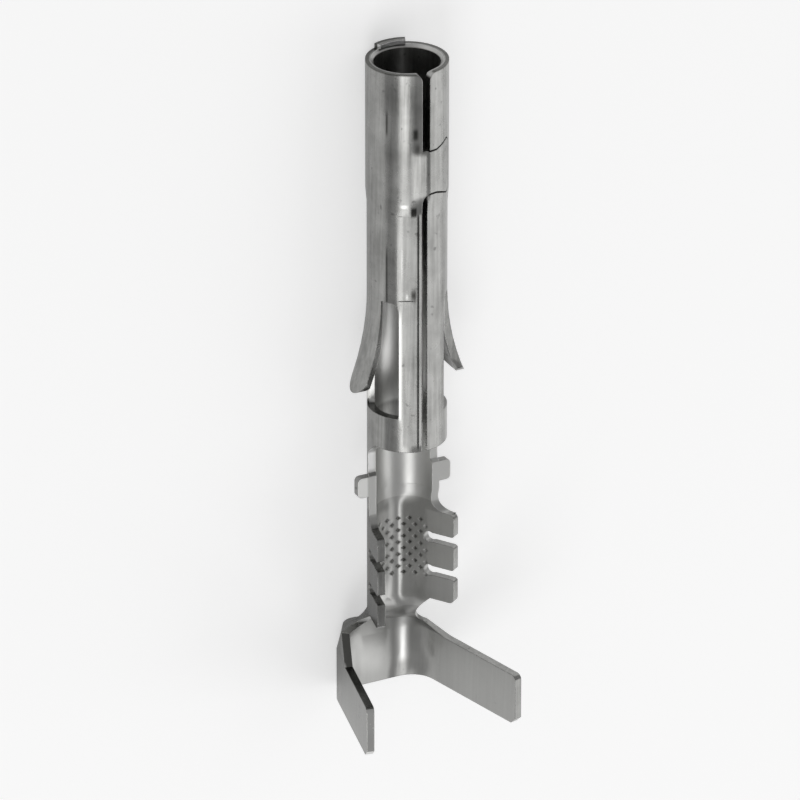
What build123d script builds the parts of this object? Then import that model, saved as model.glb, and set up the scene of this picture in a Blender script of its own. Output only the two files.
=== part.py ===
from build123d import *
import math
import os

# Crimp socket contact: one piece of tin-plated brass strip, stamped and rolled.
# While it is formed the barrel axis is Z and Z counts from the mouth to the wire end,
# +Y is the open side where the seam lies, and X runs across. At the end the contact is
# laid on its back, mouth towards -X, with the floor at Z 0.

# Strip
SHEET = 0.28

# Barrel
BARREL_RADIUS = 1.43
LOWER_RADIUS = 1.385
LOWER_BORE = LOWER_RADIUS - SHEET
BARREL_END = 14.27
STEP_START = 4.75
STEP_LENGTH = 0.55
MOUTH_CHAMFER = 0.1
PANEL_HALF_ANGLE = 14.0
PANEL_FROM_SEAM = 27.0
PANEL_START = 5.3
PANEL_END = 8.5

# Carrier cut-off stub on the rim, opposite the seam
STUB_WIDTH = 1.2
STUB_HEIGHT = 0.16

# Seam
SEAM_LEFT = 0.135
SEAM_RIGHT_UPPER = 0.155
SEAM_RIGHT_LOWER = 0.07
RIM_CORNER_RADIUS = 0.3
SLIT_OVERLAP = 0.4

# Dovetail tab that locks the seam
TAB_GAP = 0.055
TAB_NECK_TOP = 2.95
TAB_NECK_BOTTOM = 4.5
TAB_FLARE_TOP = 2.64
TAB_FLARE_BOTTOM = 4.8
TAB_STRAIGHT = 0.45
TAB_REACH = 1.55
TAB_CORNER_RADIUS = 0.3
TAB_ROOT_RADIUS = 0.36

# Locking tines and the windows they leave, one on each side of the seam
TINE_ROOT = 8.62
TINE_LENGTH = 3.62
TINE_HALF_ANGLE = 23.0
TINE_CURVE_RADIUS = 8.6
TINE_TIP_RADIUS = 0.53
WINDOW_SEAM_ANGLE = 51.0
WINDOW_BACK_ANGLE = 29.0
WINDOW_END = 13.0
WINDOW_TOP_RADIUS = 0.5
WINDOW_BACK_RADIUS = 0.1
WINDOW_END_RADIUS = 0.15

# Open neck between barrel and wire crimp
NECK_WALL_TOP = -0.32
NECK_SHOULDER_TOP = 0.25
NECK_CORNER_RADIUS = 0.3
NECK_START = 14.75
NECK_END = 16.7

# Stabiliser ears, bent out from the neck walls
EAR_TOP = -0.2
EAR_REACH = 1.8
EAR_START = 15.68
EAR_END = 16.44
EAR_CORNER_RADIUS = 0.16
EAR_SEAT_SLOPE = 0.1

# Wire crimp: an open vee with three teeth on each wing
CRIMP_START = 17.6
CRIMP_END = 21.06
CRIMP_FLARE = 22.5
CRIMP_TWIST = 10.5
CRIMP_HALF_BLANK = 2.56
TOOTH_PITCH = 1.3
TOOTH_SLOT_WIDTH = 0.36
TOOTH_SLOT_DEPTH = 1.0
TOOTH_SLOT_END_RADIUS = 0.21
TOOTH_CORNER_RADIUS = 0.2
TOOTH_LIP_RADIUS = 0.12
FIRST_SLOT = 18.65
SLOT_COUNT = 2
ARC_NOTCH_RADIUS = 0.45

# Diamond serrations pressed into the inside of the wire crimp
DIAMOND_PITCH = 0.47
DIAMOND_COLUMN_PITCH = 0.2
DIAMOND_SIZE = 0.22
DIAMOND_TIP_SIZE = 0.06
DIAMOND_DEPTH = 0.035
DIAMOND_START = 18.05
DIAMOND_ROWS = 5
DIAMOND_HALF_SPREAD = 1.4

# Insulation crimp: a wider, deeper trough with two tall wings
INSULATION_START = 23.0
LENGTH = 24.9
INSULATION_FLOOR = -2.12
INSULATION_HALF_FLAT = 0.8
INSULATION_BEND_RADIUS = 0.95
INSULATION_FLARE = 13.0
INSULATION_HALF_BLANK = 6.38
INSULATION_UNEVEN = 0.16
INSULATION_CORNER = 0.22

# Waist between the two crimps: widens first, then steps down to the deeper floor
CRIMP_END_HALF_BLANK = 1.5
CRIMP_END_UNEVEN = 0.1
BRINK = 21.75
BRINK_HALF_FLAT = 0.75
BRINK_BEND_RADIUS = 0.5
BRINK_FLARE = 45.0
BRINK_FLOOR = -1.15
BRINK_HALF_BLANK = 1.5
BRINK_UNEVEN = -0.3
FOOT = 22.35
FOOT_HALF_FLAT = 0.8
FOOT_BEND_RADIUS = 0.7
FOOT_FLARE = 30.0
FOOT_FLOOR = -1.98
FOOT_HALF_BLANK = 2.3
FOOT_UNEVEN = -0.7
WAIST_SKEW = 9.0
WING_ROOT_HALF_BLANK = 3.2
WING_ROOT_UNEVEN = -0.5

# Half of the flat between two bends that almost meet
HALF_FLAT = 0.02

# Angle between the floor and an upright wall
QUARTER_TURN = 90.0

# Lengths that take a cutter past the surface it cuts, and right past the barrel
PAST = 1.0
WELL_CLEAR = 6.0


def ring_sector(outer, half_angle, direction):
    """Face across the axis: the sheet's ring, kept within half_angle of a direction."""
    reach = 3 * outer
    half = math.radians(half_angle)
    middle = math.radians(direction)
    corners = [(0, 0)]
    for turn in (-half, half):
        corners.append((reach * math.cos(middle + turn), reach * math.sin(middle + turn)))
    wedge = Polygon(*corners, align=None)
    return (Circle(outer) - Circle(outer - SHEET)) & wedge


def radial_tool(outline, direction):
    """Solid whose walls point at the axis, from an outline drawn on the tangent plane.

    The outline's X runs around the barrel and its Y along the axis.
    """
    near = BARREL_RADIUS / 2
    far = 2 * BARREL_RADIUS
    middle = math.radians(direction)
    outward = Vector(math.cos(middle), math.sin(middle), 0)
    around = Vector(math.sin(middle), -math.cos(middle), 0)
    faces = []
    for distance in (near, far):
        plane = Plane(origin=outward * distance, x_dir=around, z_dir=around.cross(Vector(0, 0, 1)))
        drawn = scale(outline, by=(distance / BARREL_RADIUS, 1, 1))
        faces.append((plane * drawn).face())
    return loft(faces, ruled=True)


def trough_face(position, half_flat, bend_radius, flare, floor, half_blank, uneven, twist):
    """A trough's section across the axis: flat floor, two bends, two straight wings.

    The half blank is the strip's width from the middle to the left wing's tip, along the
    inside. The right wing is longer by uneven.
    """
    lean = math.radians(flare)
    turn = QUARTER_TURN - flare
    middle = floor + bend_radius
    left_wing = half_blank - half_flat - bend_radius * math.radians(turn)
    edges = []
    tips = []
    for radius in (bend_radius, bend_radius + SHEET):
        edges.append(Line((-half_flat, middle - radius), (half_flat, middle - radius)))
        for side in (-1, 1):
            wing = left_wing + uneven if side > 0 else left_wing
            tangent_x = side * (half_flat + radius * math.cos(lean))
            tangent_y = middle - radius * math.sin(lean)
            tip = (tangent_x + side * wing * math.sin(lean), tangent_y + wing * math.cos(lean))
            start = -QUARTER_TURN if side > 0 else -QUARTER_TURN - turn
            edges.append(CenterArc((side * half_flat, middle), radius, start, turn))
            edges.append(Line((tangent_x, tangent_y), tip))
            tips.append(tip)
    edges.append(Line(tips[0], tips[2]))
    edges.append(Line(tips[1], tips[3]))
    return Pos(0, 0, position) * Rot(0, 0, -twist) * make_face(edges)


def side_tool(outline):
    """Solid that cuts right across, from an outline with X along the axis and Y up."""
    plane = Plane(origin=(WELL_CLEAR, 0, 0), x_dir=(0, 0, 1), z_dir=(-1, 0, 0))
    return extrude(plane * outline, amount=2 * WELL_CLEAR)


def both_sides(solid):
    """A solid and its mirror image on the other side of the seam."""
    return solid + mirror(solid, about=Plane.YZ)


def barrel_tube():
    """The rolled tube, slightly smaller below the dovetail, with its mouth chamfer."""
    tube_end = NECK_END
    outside = [
        (0, 0),
        (BARREL_RADIUS, 0),
        (BARREL_RADIUS, STEP_START),
        (LOWER_RADIUS, STEP_START + STEP_LENGTH),
        (LOWER_RADIUS, tube_end),
        (0, tube_end),
    ]
    bore = BARREL_RADIUS - SHEET
    lower_bore = LOWER_RADIUS - SHEET
    inside = [
        (0, 0),
        (bore + MOUTH_CHAMFER, 0),
        (bore, MOUTH_CHAMFER),
        (bore, STEP_START),
        (lower_bore, STEP_START + STEP_LENGTH),
        (lower_bore, tube_end),
        (0, tube_end),
    ]
    solids = []
    for profile in (outside, inside):
        face = Plane.XZ * make_face(Polyline(*profile, close=True))
        solids.append(revolve(face, axis=Axis.Z))
    stub_half_angle = math.degrees(STUB_WIDTH / 2 / BARREL_RADIUS)
    stub = extrude(ring_sector(BARREL_RADIUS, stub_half_angle, -90), amount=-STUB_HEIGHT)
    return solids[0] - solids[1] + stub


def lipped_slot(width, depth, corner):
    """Slot outline that starts at Y 0 with rounded lips and runs along +Y."""
    slot = Pos(0, (depth - PAST) / 2) * Rectangle(width, depth + PAST)
    for side in (-1, 1):
        edge = side * width / 2
        middle = edge + side * corner / 2
        slot += Pos(middle, -PAST / 2) * Rectangle(corner, PAST)
        square = Pos(middle, corner / 2) * Rectangle(corner, corner)
        slot += square - Pos(edge + side * corner, corner) * Circle(corner)
    return slot


def seam_slits():
    """The gaps left between the two edges of the strip, above and below the dovetail."""
    upper_middle = (SEAM_RIGHT_UPPER - SEAM_LEFT) / 2
    upper_width = SEAM_LEFT + SEAM_RIGHT_UPPER
    upper_depth = TAB_NECK_TOP + SLIT_OVERLAP
    upper = Pos(upper_middle, 0) * lipped_slot(upper_width, upper_depth, RIM_CORNER_RADIUS)
    lower_width = SEAM_LEFT + SEAM_RIGHT_LOWER
    lower_start = TAB_NECK_BOTTOM - SLIT_OVERLAP
    lower_length = NECK_END + PAST - lower_start
    lower = Pos((SEAM_RIGHT_LOWER - SEAM_LEFT) / 2, lower_start + lower_length / 2)
    lower *= Rectangle(lower_width, lower_length)
    return [radial_tool(upper, 90), radial_tool(lower, 90)]


def tab_outline():
    """The dovetail tab on the tangent plane, with the edge of the strip it grows from."""
    edge = -SEAM_LEFT
    corners = [
        (edge, TAB_NECK_TOP),
        (TAB_STRAIGHT, TAB_NECK_TOP),
        (TAB_REACH, TAB_FLARE_TOP),
        (TAB_REACH, TAB_FLARE_BOTTOM),
        (TAB_STRAIGHT, TAB_NECK_BOTTOM),
        (edge, TAB_NECK_BOTTOM),
    ]
    tab = make_face(Polyline(*corners, close=True))
    tab = fillet(tab.vertices().group_by(Axis.X)[-1], radius=TAB_CORNER_RADIUS)
    foot_top = TAB_NECK_TOP - TAB_ROOT_RADIUS
    foot_bottom = TAB_NECK_BOTTOM + 2 * TAB_ROOT_RADIUS
    foot_middle = (foot_top + foot_bottom) / 2
    foot = Pos(edge - SHEET / 2, foot_middle) * Rectangle(SHEET, foot_bottom - foot_top)
    shape = tab + foot
    lower_root = shape.vertices().sort_by_distance((edge, TAB_NECK_BOTTOM))[0]
    return fillet(lower_root, radius=TAB_ROOT_RADIUS)


def recess_outline():
    """The hole in the other edge of the strip that the tab locks into."""
    grown = offset(tab_outline(), amount=TAB_GAP)
    kept_length = 2 * LENGTH
    kept = Pos(-SEAM_LEFT + kept_length / 2, 0) * Rectangle(kept_length, kept_length)
    return grown & kept


def window_tool():
    """The hole that the tine on the side of +X leaves: arched start, square end."""
    near_seam = -BARREL_RADIUS * math.tan(math.radians(WINDOW_SEAM_ANGLE))
    near_back = BARREL_RADIUS * math.tan(math.radians(WINDOW_BACK_ANGLE))
    middle = Pos((near_seam + near_back) / 2, (TINE_ROOT + WINDOW_END) / 2)
    face = middle * Rectangle(near_back - near_seam, WINDOW_END - TINE_ROOT)
    arched, back = face.vertices().group_by(Axis.Y)[0].sort_by(Axis.X)
    face = fillet(arched, radius=WINDOW_TOP_RADIUS)
    back = face.vertices().sort_by_distance(back)[0]
    face = fillet(back, radius=WINDOW_BACK_RADIUS)
    face = fillet(face.vertices().group_by(Axis.Y)[-1], radius=WINDOW_END_RADIUS)
    return radial_tool(face, 0)


def tine():
    """A locking tine: a strip of the barrel wall bent outwards on one long curve."""
    section = Pos(0, 0, TINE_ROOT) * ring_sector(LOWER_RADIUS, TINE_HALF_ANGLE, 0)
    pivot = Axis((LOWER_RADIUS + TINE_CURVE_RADIUS, 0, TINE_ROOT), (0, 1, 0))
    sweep_angle = math.degrees(TINE_LENGTH / TINE_CURVE_RADIUS)
    strip = revolve(section, axis=pivot, revolution_arc=sweep_angle)
    half_width = LOWER_RADIUS * math.sin(math.radians(TINE_HALF_ANGLE))
    tip = TINE_ROOT + TINE_CURVE_RADIUS * math.sin(math.radians(sweep_angle))
    start = TINE_ROOT - PAST
    rounded = RectangleRounded(tip - start, 2 * half_width, TINE_TIP_RADIUS)
    rounded = Pos((start + tip) / 2, 0) * rounded
    outward = Plane(origin=(0, 0, 0), x_dir=(0, 0, 1), z_dir=(1, 0, 0))
    return strip & extrude(outward * rounded, amount=WELL_CLEAR)


def neck_relief():
    """Side-view tool: opens the barrel's end into the neck and leaves the ears' seats."""
    outline = Polyline(
        (BARREL_END, WELL_CLEAR),
        (BARREL_END, NECK_SHOULDER_TOP),
        (NECK_START, NECK_WALL_TOP),
        (EAR_START - EAR_SEAT_SLOPE, NECK_WALL_TOP),
        (EAR_START, EAR_TOP),
        (NECK_END + PAST, EAR_TOP),
        (NECK_END + PAST, WELL_CLEAR),
        close=True,
    )
    face = make_face(outline)
    corner = face.vertices().sort_by_distance((NECK_START, NECK_WALL_TOP))[0]
    face = fillet(corner, radius=NECK_CORNER_RADIUS)
    return side_tool(face)


def ear():
    """A stabiliser ear: a flat tab bent out level with the top of the neck wall."""
    inner = LOWER_RADIUS - SHEET
    width = EAR_REACH - inner
    middle = (EAR_START + EAR_END) / 2
    blank = Pos((inner + EAR_REACH) / 2, middle) * Rectangle(width, EAR_END - EAR_START)
    blank = fillet(blank.vertices().group_by(Axis.X)[-1], radius=EAR_CORNER_RADIUS)
    plane = Plane(origin=(0, EAR_TOP, 0), x_dir=(1, 0, 0), z_dir=(0, -1, 0))
    return extrude(plane * blank, amount=SHEET)


def crimp_section(position, half_blank, uneven):
    """The wire crimp's section: the barrel's bottom half with its wings leaning out."""
    return trough_face(
        position,
        HALF_FLAT,
        LOWER_BORE - HALF_FLAT,
        CRIMP_FLARE,
        -LOWER_BORE,
        half_blank,
        uneven,
        CRIMP_TWIST,
    )


def insulation_section(position, half_blank, uneven):
    """The insulation crimp's section, up to a width of the strip."""
    return trough_face(
        position,
        INSULATION_HALF_FLAT,
        INSULATION_BEND_RADIUS,
        INSULATION_FLARE,
        INSULATION_FLOOR,
        half_blank,
        uneven,
        0,
    )


def crimp_surface(along):
    """Point and normal on the inside of the wire crimp, at a length from its middle."""
    side = -1 if along < 0 else 1
    angle = min(abs(along) / LOWER_BORE, math.radians(QUARTER_TURN - CRIMP_FLARE))
    straight = abs(along) - LOWER_BORE * angle
    x = LOWER_BORE * math.sin(angle) + straight * math.cos(angle)
    y = -LOWER_BORE * math.cos(angle) + straight * math.sin(angle)
    normal = Vector(-side * math.sin(angle), math.cos(angle), 0)
    return Vector(side * x, y, 0).rotate(Axis.Z, -CRIMP_TWIST), normal.rotate(Axis.Z, -CRIMP_TWIST)


def tooth_slots():
    """The slots that leave three teeth on each wing of the wire crimp."""
    slot = lipped_slot(TOOTH_SLOT_WIDTH, TOOTH_SLOT_DEPTH, TOOTH_LIP_RADIUS)
    slot += Pos(0, TOOTH_SLOT_DEPTH) * Circle(TOOTH_SLOT_END_RADIUS)
    tools = []
    for side in (-1, 1):
        tip, normal = crimp_surface(side * CRIMP_HALF_BLANK)
        plane = Plane(origin=tip, x_dir=(0, 0, side), z_dir=-normal)
        for number in range(SLOT_COUNT):
            place = side * (FIRST_SLOT + number * TOOTH_PITCH)
            tools.append(extrude(plane * Pos(place, 0) * slot, amount=2 * SHEET, both=True))
    return tools


def tip_edges(solid):
    """The short edges through the sheet at the corners of the wing tips."""
    return solid.edges().filter_by(lambda edge: abs(edge.length - SHEET) < SHEET / 100)


def diamond():
    """One diamond of the knurl, as the tool that presses it into a face at Z 0."""
    top = Pos(0, 0, DIAMOND_DEPTH / 2) * Rot(0, 0, 45) * Rectangle(DIAMOND_SIZE, DIAMOND_SIZE)
    tip = Rectangle(DIAMOND_TIP_SIZE, DIAMOND_TIP_SIZE)
    bottom = Pos(0, 0, -DIAMOND_DEPTH) * Rot(0, 0, 45) * tip
    return loft([top.face(), bottom.face()], ruled=True)


def diamond_places():
    """Planes on the inside of the wire crimp, in staggered rows, with Z out of the sheet."""
    columns = round(DIAMOND_HALF_SPREAD / DIAMOND_COLUMN_PITCH)
    planes = []
    for column in range(-columns, columns + 1):
        point, normal = crimp_surface(column * DIAMOND_COLUMN_PITCH)
        stagger = DIAMOND_PITCH / 2 if column % 2 else 0
        for row in range(DIAMOND_ROWS):
            along = Vector(0, 0, DIAMOND_START + stagger + row * DIAMOND_PITCH)
            planes.append(Plane(origin=point + along, x_dir=(0, 0, 1), z_dir=normal))
    return planes


def wire_crimp():
    """The wire crimp with its teeth, its knurl and the blend from the neck before it."""
    radius = LOWER_BORE - HALF_FLAT
    neck = trough_face(NECK_END, HALF_FLAT, radius, 0, -LOWER_BORE, CRIMP_HALF_BLANK, 0, 0)
    section = crimp_section(CRIMP_START, CRIMP_HALF_BLANK, 0)
    blend = loft([neck, section], ruled=True)
    notch = make_face(Polyline(
        (NECK_END - PAST, WELL_CLEAR),
        (NECK_END - PAST, EAR_TOP),
        (CRIMP_START, EAR_TOP),
        (CRIMP_START, WELL_CLEAR),
        close=True,
    ))
    corner = notch.vertices().sort_by_distance((CRIMP_START, EAR_TOP))[0]
    blend -= side_tool(fillet(corner, radius=ARC_NOTCH_RADIUS))
    trough = extrude(section, amount=CRIMP_END - CRIMP_START)
    trough = fillet(tip_edges(trough), radius=TOOTH_CORNER_RADIUS)
    trough -= tooth_slots()
    tool = diamond()
    trough -= [plane * tool for plane in diamond_places()]
    return blend + trough


def skewed(position, *shape):
    """A trough's section, turned so that its right side lies further from the mouth."""
    return Pos(0, 0, position) * Rot(0, -WAIST_SKEW, 0) * trough_face(0, *shape)


def waist():
    """The low trough that widens and steps down from the wire crimp."""
    crimp_end = crimp_section(CRIMP_END, CRIMP_END_HALF_BLANK, CRIMP_END_UNEVEN)
    brink = skewed(
        BRINK,
        BRINK_HALF_FLAT,
        BRINK_BEND_RADIUS,
        BRINK_FLARE,
        BRINK_FLOOR,
        BRINK_HALF_BLANK,
        BRINK_UNEVEN,
        CRIMP_TWIST,
    )
    foot = skewed(
        FOOT,
        FOOT_HALF_FLAT,
        FOOT_BEND_RADIUS,
        FOOT_FLARE,
        FOOT_FLOOR,
        FOOT_HALF_BLANK,
        FOOT_UNEVEN,
        0,
    )
    wing_root = insulation_section(INSULATION_START, WING_ROOT_HALF_BLANK, WING_ROOT_UNEVEN)
    return loft([crimp_end, brink, foot]) + loft([foot, wing_root], ruled=True)


def insulation_crimp():
    """The insulation crimp: a flat-floored trough with two tall wings."""
    section = insulation_section(INSULATION_START, INSULATION_HALF_BLANK, INSULATION_UNEVEN)
    trough = extrude(section, amount=LENGTH - INSULATION_START)
    trough = fillet(tip_edges(trough).group_by(Axis.Z)[0], radius=TOOTH_CORNER_RADIUS)
    return chamfer(tip_edges(trough).group_by(Axis.Z)[-1], length=INSULATION_CORNER)


def pressed_panel():
    """Tool that presses a flat panel into the barrel beside the seam."""
    height = PANEL_END - PANEL_START
    flat = LOWER_RADIUS * math.cos(math.radians(PANEL_HALF_ANGLE))
    block = Pos(flat + PAST / 2, 0, PANEL_START + height / 2) * Box(PAST, LOWER_RADIUS, height)
    return Rot(0, 0, 90 + PANEL_FROM_SEAM) * block


def barrel():
    """Mating barrel with its locked seam, windows, tines and the open neck with its ears."""
    tube = barrel_tube()
    solid = tube - seam_slits() - radial_tool(recess_outline(), 90)
    solid += tube & radial_tool(tab_outline(), 90)
    solid -= both_sides(window_tool())
    solid += both_sides(tine())
    solid -= pressed_panel()
    solid -= neck_relief()
    return solid + both_sides(ear())


def laid_down(formed):
    """The contact on its back, resting on the mouth's rim and the insulation crimp."""
    lying = Plane(origin=(0, 0, 0), x_dir=(0, 1, 0), z_dir=(1, 0, 0)) * formed
    drop = -(INSULATION_FLOOR - SHEET) - BARREL_RADIUS
    tilt = math.degrees(math.atan2(drop, INSULATION_START + STUB_HEIGHT))
    lying = Rot(0, -tilt, 0) * lying
    low = lying.bounding_box().min
    high = lying.bounding_box().max
    return Pos(-(low.X + high.X) / 2, -(low.Y + high.Y) / 2, -low.Z) * lying


contact = barrel() + wire_crimp() + waist() + insulation_crimp()
contact = laid_down(contact).solid()
contact.label = "socket_contact"
os.makedirs("parts", exist_ok=True)
export_step(contact, "parts/socket_contact.step")
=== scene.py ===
import math

import bmesh
import bpy
from mathutils import Matrix, Vector


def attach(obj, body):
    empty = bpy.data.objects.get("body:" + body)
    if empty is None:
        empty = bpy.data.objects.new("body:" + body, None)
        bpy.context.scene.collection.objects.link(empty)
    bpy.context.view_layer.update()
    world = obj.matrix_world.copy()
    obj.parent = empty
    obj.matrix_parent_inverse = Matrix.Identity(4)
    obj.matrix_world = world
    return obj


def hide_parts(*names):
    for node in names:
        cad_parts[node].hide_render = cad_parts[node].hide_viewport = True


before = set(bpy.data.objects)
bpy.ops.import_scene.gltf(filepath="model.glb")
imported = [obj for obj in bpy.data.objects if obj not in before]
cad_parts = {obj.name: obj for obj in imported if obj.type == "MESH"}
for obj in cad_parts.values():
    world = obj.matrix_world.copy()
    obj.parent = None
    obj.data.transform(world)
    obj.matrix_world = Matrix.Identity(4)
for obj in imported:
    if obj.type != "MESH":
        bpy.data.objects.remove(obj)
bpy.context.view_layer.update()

# The contact: one piece of brass strip, stamped flat with its teeth, windows and dovetail,
# tin plated, and rolled and folded in the press. The mesh is the solid's own, merged, so
# that its curved walls shade smoothly and its sheared edges stay crisp.
MERGE_DISTANCE = 1e-7
SHEARED_EDGE_ANGLE = math.radians(28)

stamping = bpy.data.meshes.new("contact")
shell = bmesh.new()
shell.from_mesh(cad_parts["socket_contact"].data)
bmesh.ops.remove_doubles(shell, verts=shell.verts, dist=MERGE_DISTANCE)
for face in shell.faces:
    face.smooth = True
for edge in shell.edges:
    edge.smooth = edge.calc_face_angle(0.0) < SHEARED_EDGE_ANGLE
shell.to_mesh(stamping)
shell.free()
contact = bpy.data.objects.new("contact", stamping)
bpy.context.collection.objects.link(contact)
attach(contact, "root")
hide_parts("socket_contact")


def from_hex(code):
    """A colour written as sRGB hex, turned to linear with full alpha."""
    shares = [int(code[i:i + 2], 16) / 255 for i in (1, 3, 5)]
    linear = [c / 12.92 if c <= 0.04045 else ((c + 0.055) / 1.055) ** 2.4 for c in shares]
    return (*linear, 1.0)


def add_node(tree, kind, settings=None, links=None):
    """One node of a material, with its properties, socket values and links."""
    node = tree.nodes.new(kind)
    for name, value in (settings or {}).items():
        if isinstance(name, str) and hasattr(node, name):
            setattr(node, name, value)
        else:
            node.inputs[name].default_value = value
    for name, source in (links or {}).items():
        tree.links.new(source, node.inputs[name])
    return node


# Tin plated on rolled brass and worked in the press: a satin grey metal, at its sheared edges
# too. It shows faint drawing lines along the barrel, softer clouds and small dull specks. The
# lines are drawn wider than real ones, so that they show.
LINE_LENGTH = 0.00333
LINE_WIDTH = 0.000111
CLOUD_SIZE = 0.00143
SPECK_SIZE = 0.000238
LINE_SHARE = 0.35
TONE_STOPS = [(0.36, "#828280"), (0.62, "#A8A8A6")]
SPECK_STOPS = [(0.22, "#CCCCCC"), (0.30, "#FFFFFF")]

tin = bpy.data.materials.new("satin tin plate on rolled brass")
tin.use_nodes = True
metal = tin.node_tree
metal_surface = metal.nodes["Principled BSDF"]
metal_surface.inputs["Metallic"].default_value = 1.0

place = add_node(metal, "ShaderNodeTexCoord")
lines = add_node(
    metal,
    "ShaderNodeMapping",
    {"Scale": (1 / LINE_LENGTH, 1 / LINE_WIDTH, 1 / LINE_WIDTH)},
    {"Vector": place.outputs["Object"]},
)
drawing = add_node(
    metal, "ShaderNodeTexNoise", {"Scale": 1.0, "Detail": 3.0}, {"Vector": lines.outputs["Vector"]}
)
clouds = add_node(
    metal,
    "ShaderNodeTexNoise",
    {"Scale": 1 / CLOUD_SIZE, "Detail": 4.0, "Roughness": 0.6},
    {"Vector": place.outputs["Object"]},
)
grit = add_node(
    metal,
    "ShaderNodeTexNoise",
    {"Scale": 1 / SPECK_SIZE, "Detail": 1.0},
    {"Vector": place.outputs["Object"]},
)
mottle = add_node(
    metal,
    "ShaderNodeMix",
    {"data_type": "FLOAT", 0: LINE_SHARE},
    {2: clouds.outputs["Fac"], 3: drawing.outputs["Fac"]},
)
tone = add_node(metal, "ShaderNodeValToRGB", links={"Fac": mottle.outputs[0]})
specks = add_node(metal, "ShaderNodeValToRGB", links={"Fac": grit.outputs["Fac"]})
for ramp, stops in ((tone, TONE_STOPS), (specks, SPECK_STOPS)):
    for stop, (position, hue) in zip(ramp.color_ramp.elements, stops):
        stop.position = position
        stop.color = from_hex(hue)
colour = add_node(
    metal,
    "ShaderNodeMix",
    {"data_type": "RGBA", "blend_type": "MULTIPLY", 0: 1.0},
    {6: tone.outputs["Color"], 7: specks.outputs["Color"]},
)
# The metal's own tone and specks. The rows below add painted light and shade to this colour.
tint_and_painted_light = colour.outputs[2]

# The same metal in the frame of the barrel, which rests a little tilted: how far a point is
# from the mouth, how far across from the middle, and at what angle around from the seam.
MM = 0.001
RESTING_TILT = math.radians(2.3983)
MOUTH_PLACE = Vector((-0.0124472, -0.000018, 0.0014354))
OUTER_WALL = 0.0013

resting = Matrix.Rotation(-RESTING_TILT, 3, "Y")
unrolled = add_node(
    metal,
    "ShaderNodeMapping",
    {"vector_type": "TEXTURE", "Location": MOUTH_PLACE, "Rotation": (0.0, -RESTING_TILT, 0.0)},
    {"Vector": place.outputs["Object"]},
)
parts = add_node(metal, "ShaderNodeSeparateXYZ", links={"Vector": unrolled.outputs["Vector"]})
around = add_node(
    metal,
    "ShaderNodeMath",
    {"operation": "ARCTAN2"},
    {0: parts.outputs["Y"], 1: parts.outputs["Z"]},
)
by_length = (parts.outputs["X"], MM)
by_width = (parts.outputs["Y"], MM)
by_angle = (around.outputs["Value"], math.radians(1))
squares = [
    add_node(metal, "ShaderNodeMath", {"operation": "MULTIPLY"}, {0: side, 1: side})
    for side in (parts.outputs["Y"], parts.outputs["Z"])
]
from_axis = add_node(
    metal,
    "ShaderNodeMath",
    {"operation": "ADD"},
    {0: squares[0].outputs["Value"], 1: squares[1].outputs["Value"]},
)
outside = add_node(
    metal,
    "ShaderNodeMath",
    {"operation": "GREATER_THAN", 1: OUTER_WALL ** 2},
    {0: from_axis.outputs["Value"]},
)


def field(mask, limits, share=1.0):
    """A share of a mask, which fades out softly past two limits of each given measure."""
    amount = add_node(
        metal, "ShaderNodeMath", {"operation": "MULTIPLY", 1: share}, {0: mask.outputs["Value"]}
    )
    for (source, unit), (lowest, highest), softness in limits:
        middle = (lowest + highest) / 2
        half = (highest - lowest) / 2
        away = add_node(
            metal, "ShaderNodeMath", {"operation": "SUBTRACT", 1: middle * unit}, {0: source}
        )
        away = add_node(
            metal, "ShaderNodeMath", {"operation": "ABSOLUTE"}, {0: away.outputs["Value"]}
        )
        faded = add_node(
            metal,
            "ShaderNodeMapRange",
            {
                "From Min": (half + softness) * unit,
                "From Max": (half - softness) * unit,
                "interpolation_type": "SMOOTHSTEP",
            },
            {"Value": away.outputs["Value"]},
        )
        amount = add_node(
            metal,
            "ShaderNodeMath",
            {"operation": "MULTIPLY"},
            {0: amount.outputs["Value"], 1: faded.outputs["Result"]},
        )
    return amount.outputs["Value"]


# Spots, painted shade and painted highlights on the outside of the barrel, darker or lighter
# than the metal. A row has the degrees around from the seam, the mm from the mouth, the
# softness of both, how it blends and its hue.
SPOTS_AND_PAINTED_LIGHT = [
    # Painted shade in the coined groove by the lower slit and at both ends of the pressed panel.
    ((-11.9, -10.1), (5.3, 14.2), (0.8, 0.1), "MULTIPLY", "#6A6A68"),
    ((-21.5, -13.5), (4.98, 5.34), (1.5, 0.08), "MULTIPLY", "#666664"),
    ((-21.0, -14.0), (8.10, 8.50), (2.5, 0.2), "MULTIPLY", "#787876"),
    # Two spots beside the upper slit, a streak under the mouth, and painted shade along the crease
    # above the window.
    ((-18.5, -12.0), (2.05, 2.42), (2.5, 0.1), "MULTIPLY", "#848482"),
    ((-15.5, -9.0), (2.62, 2.95), (3.0, 0.15), "MULTIPLY", "#B4B4B2"),
    ((-57.5, -54.5), (1.50, 2.30), (1.5, 0.15), "MULTIPLY", "#9A9A98"),
    ((-58.5, -56.0), (6.6, 8.75), (1.5, 0.40), "MULTIPLY", "#7E7E7C"),
    # Painted shade on the rim of the mouth, and painted shade above the step over the bright line.
    ((-180.0, 180.0), (-1.0, 0.06), (0.1, 0.03), "MULTIPLY", "#A4A4A2"),
    ((-40.0, -18.0), (2.7, 4.8), (4.0, 0.5), "MULTIPLY", "#E4E4E4"),
    # Painted highlights where the metal catches the light: on the step, at the end of the panel,
    # on the panel, and along a line beside the window.
    ((-36.0, -27.0), (4.88, 4.98), (4.0, 0.06), "MIX", "#D4D4D2"),
    ((-28.5, -25.5), (8.28, 8.45), (1.5, 0.1), "MIX", "#D4D4D2"),
    ((-36.0, -32.5), (6.6, 7.5), (1.5, 0.4), "MIX", "#A8A8A6"),
    ((-38.8, -35.2), (9.1, 13.1), (0.9, 0.3), "MIX", "#C6C6C4"),
]
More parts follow.
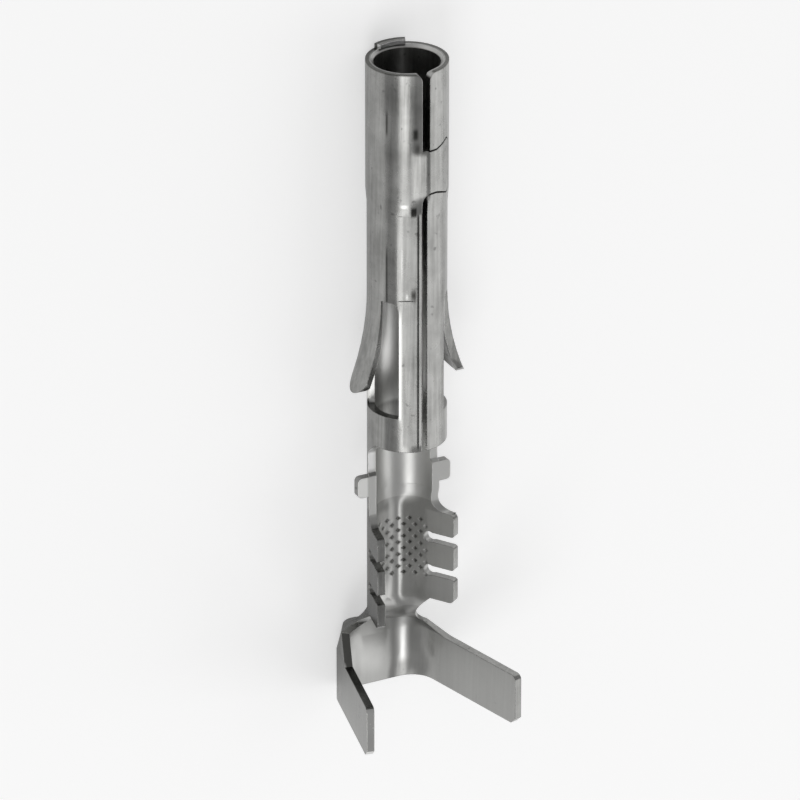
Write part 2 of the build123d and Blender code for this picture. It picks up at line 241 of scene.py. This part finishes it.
for degrees, stretch, (turn_softness, length_softness), blend, hue in SPOTS_AND_PAINTED_LIGHT:
    limits = [(by_angle, degrees, turn_softness), (by_length, stretch, length_softness)]
    marked = add_node(
        metal,
        "ShaderNodeMix",
        {"data_type": "RGBA", "blend_type": blend, 7: from_hex(hue)},
        {0: field(outside, limits), 6: tint_and_painted_light},
    )
    tint_and_painted_light = marked.outputs[2]

# Which side of the folded strip a point is on: the inner side faces a line just above the
# barrel's axis, and counts only inside the barrel's wall or past the barrel's end. The other
# masks hold where a face looks up, to the left or to the mouth, and inside a pressed diamond.
INNER_HEIGHT = 0.001
INNER_FACING = -0.0003
BARREL_LENGTH = 0.0143
FACING_UP = 0.6
FACING_LEFT = -0.5
FACING_MOUTH = -0.6
DIAMOND_FLOOR = 0.001124

skin = add_node(metal, "ShaderNodeNewGeometry")
off_axis = add_node(
    metal,
    "ShaderNodeVectorMath",
    {"operation": "MULTIPLY_ADD", 1: (0.0, 1.0, 1.0), 2: (0.0, 0.0, -INNER_HEIGHT)},
    {0: unrolled.outputs["Vector"]},
)
outwards = add_node(
    metal,
    "ShaderNodeVectorMath",
    {"operation": "DOT_PRODUCT"},
    {0: off_axis.outputs["Vector"], 1: skin.outputs["True Normal"]},
)
faces_in = add_node(
    metal,
    "ShaderNodeMath",
    {"operation": "LESS_THAN", 1: INNER_FACING},
    {0: outwards.outputs["Value"]},
)
past_barrel = add_node(
    metal,
    "ShaderNodeMath",
    {"operation": "GREATER_THAN", 1: BARREL_LENGTH},
    {0: parts.outputs["X"]},
)
inside_wall = add_node(
    metal, "ShaderNodeMath", {"operation": "SUBTRACT", 0: 1.0}, {1: outside.outputs["Value"]}
)
can_be_inner = add_node(
    metal,
    "ShaderNodeMath",
    {"operation": "MAXIMUM"},
    {0: past_barrel.outputs["Value"], 1: inside_wall.outputs["Value"]},
)
inner = add_node(
    metal,
    "ShaderNodeMath",
    {"operation": "MULTIPLY"},
    {0: faces_in.outputs["Value"], 1: can_be_inner.outputs["Value"]},
)
slant = add_node(metal, "ShaderNodeSeparateXYZ", links={"Vector": skin.outputs["True Normal"]})
upward = add_node(
    metal, "ShaderNodeMath", {"operation": "GREATER_THAN", 1: FACING_UP}, {0: slant.outputs["Z"]}
)
to_left = add_node(
    metal, "ShaderNodeMath", {"operation": "LESS_THAN", 1: FACING_LEFT}, {0: slant.outputs["Y"]}
)
to_mouth = add_node(
    metal, "ShaderNodeMath", {"operation": "LESS_THAN", 1: FACING_MOUTH}, {0: slant.outputs["X"]}
)
below_floor = add_node(
    metal,
    "ShaderNodeMath",
    {"operation": "GREATER_THAN", 1: DIAMOND_FLOOR ** 2},
    {0: from_axis.outputs["Value"]},
)
pressed = add_node(
    metal,
    "ShaderNodeMath",
    {"operation": "MULTIPLY"},
    {0: below_floor.outputs["Value"], 1: inner.outputs["Value"]},
)

# Sides painted paler or darker than the rest, as painted light and shade. A row has the mm from
# the mouth, the mm across, the softness of both, the side that it is on, how it blends, its hue
# and how much of it there is.
WHOLE_WIDTH = (-5.0, 5.0)
PAINTED_SIDE_LIGHT = [
    # Painted light on the inner side at the mouth, behind the windows, in the neck and in both
    # crimps.
    ((-1.0, 0.12), WHOLE_WIDTH, 0.05, inner, "MIX", "#D0D0CE", 0.7),
    ((8.4, 13.4), WHOLE_WIDTH, 0.10, inner, "MIX", "#DCDCDA", 0.8),
    ((14.3, 17.2), WHOLE_WIDTH, 0.05, inner, "MIX", "#CCCCCA", 0.9),
    ((17.2, 21.6), WHOLE_WIDTH, 0.05, inner, "MIX", "#BCBCBA", 0.75),
    ((21.6, 26.0), WHOLE_WIDTH, 0.05, inner, "MIX", "#A4A4A2", 0.75),
    # Painted highlights on the stub at the mouth, the left rim of the neck and the two ears.
    ((-1.0, 0.0), (-1.3, 0.6), 0.05, inner, "MIX", "#FFFFFF", 0.9),
    ((14.5, 15.5), (-1.6, -1.1), 0.10, upward, "MIX", "#FFFFFF", 0.8),
    ((15.55, 16.55), (-2.3, -1.42), 0.05, upward, "MIX", "#FAFAF8", 0.85),
    ((15.55, 16.55), (1.42, 2.3), 0.05, inner, "MIX", "#C8C8C6", 0.6),
    # Painted shade on the outer side of the left wings and the front edge of the longer one, and a
    # painted highlight on its tip.
    ((17.0, 21.4), (-3.2, -1.15), 0.05, to_left, "MULTIPLY", "#A0A09E", 1.0),
    ((21.4, 26.0), (-4.5, -1.2), 0.05, to_left, "MULTIPLY", "#C6C6C4", 1.0),
    ((21.4, 26.0), (-4.5, -1.2), 0.05, to_mouth, "MULTIPLY", "#A6A6A4", 1.0),
    ((22.9, 26.0), (-4.5, -2.2), 0.05, upward, "MIX", "#D0D0CE", 0.9),
    # Painted light on the left of the knurled floor and at two places in the insulation crimp,
    # and painted shade in the pressed diamonds.
    ((17.6, 21.2), (-0.9, -0.1), 0.15, inner, "MIX", "#DCDCDA", 0.6),
    ((21.7, 24.4), (-1.1, 0.3), 0.40, inner, "MIX", "#BCBCBA", 0.8),
    ((22.1, 24.3), (0.7, 1.05), 0.20, inner, "MIX", "#F4F4F2", 0.6),
    ((17.7, 20.7), (-0.93, 0.93), 0.05, pressed, "MULTIPLY", "#B0B0AE", 1.0),
]
for stretch, across, softness, side, blend, hue, share in PAINTED_SIDE_LIGHT:
    limits = [(by_length, stretch, softness), (by_width, across, softness)]
    toned = add_node(
        metal,
        "ShaderNodeMix",
        {"data_type": "RGBA", "blend_type": blend, 7: from_hex(hue)},
        {0: field(side, limits, share), 6: tint_and_painted_light},
    )
    tint_and_painted_light = toned.outputs[2]
metal.links.new(tint_and_painted_light, metal_surface.inputs["Base Color"])

# How dull the plate is: it varies with the clouds, and the inner side is a little duller.
CLOUD_SPREAD = (0.35, 0.65)
SATIN = (0.22, 0.30)
INNER_DULLNESS = 0.10

dullness = add_node(
    metal,
    "ShaderNodeMapRange",
    {
        "From Min": CLOUD_SPREAD[0],
        "From Max": CLOUD_SPREAD[1],
        "To Min": SATIN[0],
        "To Max": SATIN[1],
    },
    {"Value": clouds.outputs["Fac"]},
)
duller = add_node(
    metal,
    "ShaderNodeMath",
    {"operation": "MULTIPLY_ADD", 1: INNER_DULLNESS},
    {0: inner.outputs["Value"], 2: dullness.outputs["Result"]},
)
metal.links.new(duller.outputs["Value"], metal_surface.inputs["Roughness"])

# Sheared edges are slightly rounded, and the metal beside the seam is a little flat: there
# the light falls on it as on a plain face. That is shading, with no shape behind it.
ROUNDED_EDGE = 0.00004
FLATTENED = [
    # Degrees from the seam, mm from the mouth, softness of both, where it looks, how flat it is.
    ((-34.0, -12.4), (5.2, 14.1), (1.0, 0.15), -24.1, 0.93),
    ((-9.8, -5.2), (5.2, 14.1), (0.8, 0.10), -25.5, 0.9),
    ((-38.6, -34.6), (8.9, 13.0), (0.8, 0.10), -30.5, 0.9),
    ((-22.0, 4.0), (2.9, 4.75), (5.0, 0.25), -28.0, 0.85),
]

edges = add_node(metal, "ShaderNodeBevel", {"samples": 6, "Radius": ROUNDED_EDGE})
facing = edges.outputs["Normal"]
for degrees, stretch, (turn_softness, length_softness), angle, share in FLATTENED:
    turn = math.radians(angle)
    flat = resting @ Vector((0.0, math.sin(turn), math.cos(turn)))
    limits = [(by_angle, degrees, turn_softness), (by_length, stretch, length_softness)]
    bent = add_node(
        metal,
        "ShaderNodeMix",
        {"data_type": "VECTOR", 5: flat},
        {0: field(outside, limits, share), 4: facing},
    )
    facing = bent.outputs[1]

# The lip of the mouth and the floors of the two crimps turn the light more sharply than the
# smooth solid does, the last one along a wavering line. That is shading too, with no shape
# behind it.
WAVE_LENGTH = 0.00238
WAVE_SHIFT = 0.0013
WIDEST_TURN = 45.0
FLOOR_HALF_WIDTH = 3.0
FLOOR_SOFTNESS = 0.3

wave = add_node(
    metal,
    "ShaderNodeTexNoise",
    {"Scale": 1 / WAVE_LENGTH, "Detail": 2.0},
    {"Vector": place.outputs["Object"]},
)
sideways_shift = add_node(
    metal,
    "ShaderNodeMath",
    {"operation": "MULTIPLY_ADD", 1: WAVE_SHIFT, 2: -WAVE_SHIFT / 2},
    {0: wave.outputs["Fac"]},
)
wavering = add_node(
    metal,
    "ShaderNodeMath",
    {"operation": "ADD"},
    {0: sideways_shift.outputs["Value"], 1: parts.outputs["Y"]},
)
TURNED_FLOORS = [
    # Mm from the mouth, the measure across, and the degrees of turn at some mm across.
    ((-1.0, 0.0), parts.outputs["Y"], [(-1.2, 0), (-1.0, -28), (0.0, -28), (0.3, 0)]),
    (
        (17.3, 21.3),
        parts.outputs["Y"],
        [(-0.6, 0), (-0.2, 8), (0.1, 2), (0.265, -16), (0.42, -26), (0.8, -12), (1.05, 0)],
    ),
    (
        (21.9, 26.0),
        wavering.outputs["Value"],
        [(-1.2, 0), (-0.8, 16), (0.2, 12), (0.72, -20), (0.95, -25), (1.2, -24), (1.7, 12), (2.8, 0)],
    ),
]
for stretch, measure, turns in TURNED_FLOORS:
    across = add_node(
        metal,
        "ShaderNodeMapRange",
        {"From Min": -FLOOR_HALF_WIDTH * MM, "From Max": FLOOR_HALF_WIDTH * MM},
        {"Value": measure},
    )
    curve = add_node(metal, "ShaderNodeValToRGB", links={"Fac": across.outputs["Result"]})
    stops = curve.color_ramp.elements
    while len(stops) < len(turns):
        stops.new(1.0)
    for stop, (place_across, degrees) in zip(stops, turns):
        stop.position = 0.5 + place_across / (2 * FLOOR_HALF_WIDTH)
        level = 0.5 + degrees / (2 * WIDEST_TURN)
        stop.color = (level, level, level, 1.0)
    turned = add_node(
        metal,
        "ShaderNodeMapRange",
        {"To Min": math.radians(WIDEST_TURN), "To Max": -math.radians(WIDEST_TURN)},
        {"Value": curve.outputs["Color"]},
    )
    amount = add_node(
        metal,
        "ShaderNodeMath",
        {"operation": "MULTIPLY"},
        {0: field(inner, [(by_length, stretch, FLOOR_SOFTNESS)]), 1: turned.outputs["Result"]},
    )
    swung = add_node(
        metal,
        "ShaderNodeVectorRotate",
        {"rotation_type": "X_AXIS"},
        {"Vector": facing, "Angle": amount.outputs["Value"]},
    )
    facing = swung.outputs["Vector"]

# The drawing lines and clouds are also a faint relief.
RELIEF_DEPTH = 0.00002
RELIEF_STRENGTH = 0.12

relief = add_node(
    metal,
    "ShaderNodeBump",
    {"Strength": RELIEF_STRENGTH, "Distance": RELIEF_DEPTH},
    {"Height": mottle.outputs[0], "Normal": facing},
)
metal.links.new(relief.outputs["Normal"], metal_surface.inputs["Normal"])
stamping.materials.append(tin)

# The table it lies on: a plain card, cut from matt white board, that glows in the picture and
# in the metal but still takes the contact's soft shadow. What the metal reflects of it is
# darker close to the contact.
TABLE_HALF_WIDTH = 0.6
TABLE_GLOW = 0.48
CONTACT_SHADE = 0.006

table_mesh = bpy.data.meshes.new("table")
plane = bmesh.new()
bmesh.ops.create_grid(plane, x_segments=1, y_segments=1, size=TABLE_HALF_WIDTH)
plane.to_mesh(table_mesh)
plane.free()
table = bpy.data.objects.new("table", table_mesh)
bpy.context.collection.objects.link(table)

card = bpy.data.materials.new("matt white card")
card.use_nodes = True
board = card.node_tree
board_surface = board.nodes["Principled BSDF"]
board_surface.inputs["Base Color"].default_value = from_hex("#E4E4E4")
board_surface.inputs["Roughness"].default_value = 0.9
board_surface.inputs["Emission Color"].default_value = from_hex("#FFFFFF")
ray = add_node(board, "ShaderNodeLightPath")
shade = add_node(board, "ShaderNodeAmbientOcclusion", {"samples": 4, "Distance": CONTACT_SHADE})
mirrored = add_node(
    board,
    "ShaderNodeMath",
    {"operation": "MULTIPLY"},
    {0: ray.outputs["Is Glossy Ray"], 1: shade.outputs["AO"]},
)
seen = add_node(
    board,
    "ShaderNodeMath",
    {"operation": "MAXIMUM"},
    {0: ray.outputs["Is Camera Ray"], 1: mirrored.outputs["Value"]},
)
seen = add_node(
    board,
    "ShaderNodeMath",
    {"operation": "MAXIMUM"},
    {0: seen.outputs["Value"], 1: ray.outputs["Is Transmission Ray"]},
)
glow = add_node(
    board,
    "ShaderNodeMath",
    {"operation": "MULTIPLY", 1: TABLE_GLOW},
    {0: seen.outputs["Value"]},
)
board.links.new(glow.outputs["Value"], board_surface.inputs["Emission Strength"])
table_mesh.materials.append(card)

# The room around it: an even pale light from every side.
ROOM_LEVEL = 0.38

world = bpy.data.worlds.new("pale room")
world.use_nodes = True
bpy.context.scene.world = world
room = world.node_tree.nodes["Background"]
room.inputs["Color"].default_value = (1.0, 1.0, 1.0, 1.0)
room.inputs["Strength"].default_value = ROOM_LEVEL

# The camera: a long lens that looks down on the contact from the side of its mouth. Its tilt,
# its turn around the barrel and its scale were read from the photo, and so were the pixel it
# aims at and the place on the barrel's axis that lies there.
LENS_TILT = 26.3
LENS_TURN = 27.0
LENS_DISTANCE = 0.310
PIXELS_PER_MM = 29.0
AIM_FROM_MOUTH = 0.01205
FRAME_PIXELS = 800
AIM_PIXEL = (407.0, 377.0)

lean = math.radians(LENS_TILT)
turn = math.radians(LENS_TURN)
towards = resting @ Vector(
    (-math.sin(lean), -math.sin(turn) * math.cos(lean), math.cos(turn) * math.cos(lean))
)
rightwards = resting @ Vector((0.0, math.cos(turn), math.sin(turn)))
upwards = towards.cross(rightwards)
pixel = MM / PIXELS_PER_MM
middle = FRAME_PIXELS / 2
aim = MOUTH_PLACE + resting @ Vector((AIM_FROM_MOUTH, 0.0, 0.0))
aim += rightwards * (middle - AIM_PIXEL[0]) * pixel
aim += upwards * (AIM_PIXEL[1] - middle) * pixel
lens = bpy.data.cameras.new("long lens")
lens.sensor_width = 36.0
lens.lens = lens.sensor_width * LENS_DISTANCE / (FRAME_PIXELS * pixel)
lens.clip_start = 0.01
lens.clip_end = 10.0
camera = bpy.data.objects.new("long lens", lens)
bpy.context.collection.objects.link(camera)
turned = Matrix((rightwards, upwards, towards)).transposed()
camera.matrix_world = Matrix.Translation(aim + towards * LENS_DISTANCE) @ turned.to_4x4()
bpy.context.scene.camera = camera
bpy.context.scene.view_settings.view_transform = "Standard"


# Soft boxes, both over the wire end. The narrow one stands high, a little to the left of the
# lens, and draws the bright line down the barrel. The broad one stands low on the right and
# lifts that flank.
def soft_box(name, direction, distance, across, along, brightness):
    """A rectangular lamp that faces the contact, with its length along the barrel."""
    facing = Vector(direction).normalized()
    lengthwise = (Vector((1.0, 0.0, 0.0)) - facing * facing.x).normalized()
    sideways = lengthwise.cross(facing)
    lamp = bpy.data.lights.new(name, "AREA")
    lamp.shape = "RECTANGLE"
    lamp.size = across
    lamp.size_y = along
    # The watts that give the lamp's face this brightness, whatever its size.
    lamp.energy = brightness * math.pi * across * along
    turned = Matrix((sideways, lengthwise, facing)).transposed()
    box = bpy.data.objects.new(name, lamp)
    box.matrix_world = Matrix.Translation(facing * distance) @ turned.to_4x4()
    bpy.context.collection.objects.link(box)


soft_box(
    "line soft box",
    direction=(0.443, -0.501, 0.743),
    distance=0.35,
    across=0.15,
    along=0.22,
    brightness=2.1,
)
soft_box(
    "far side soft box",
    direction=(0.443, 0.776, 0.448),
    distance=0.40,
    across=0.36,
    along=0.30,
    brightness=1.0,
)
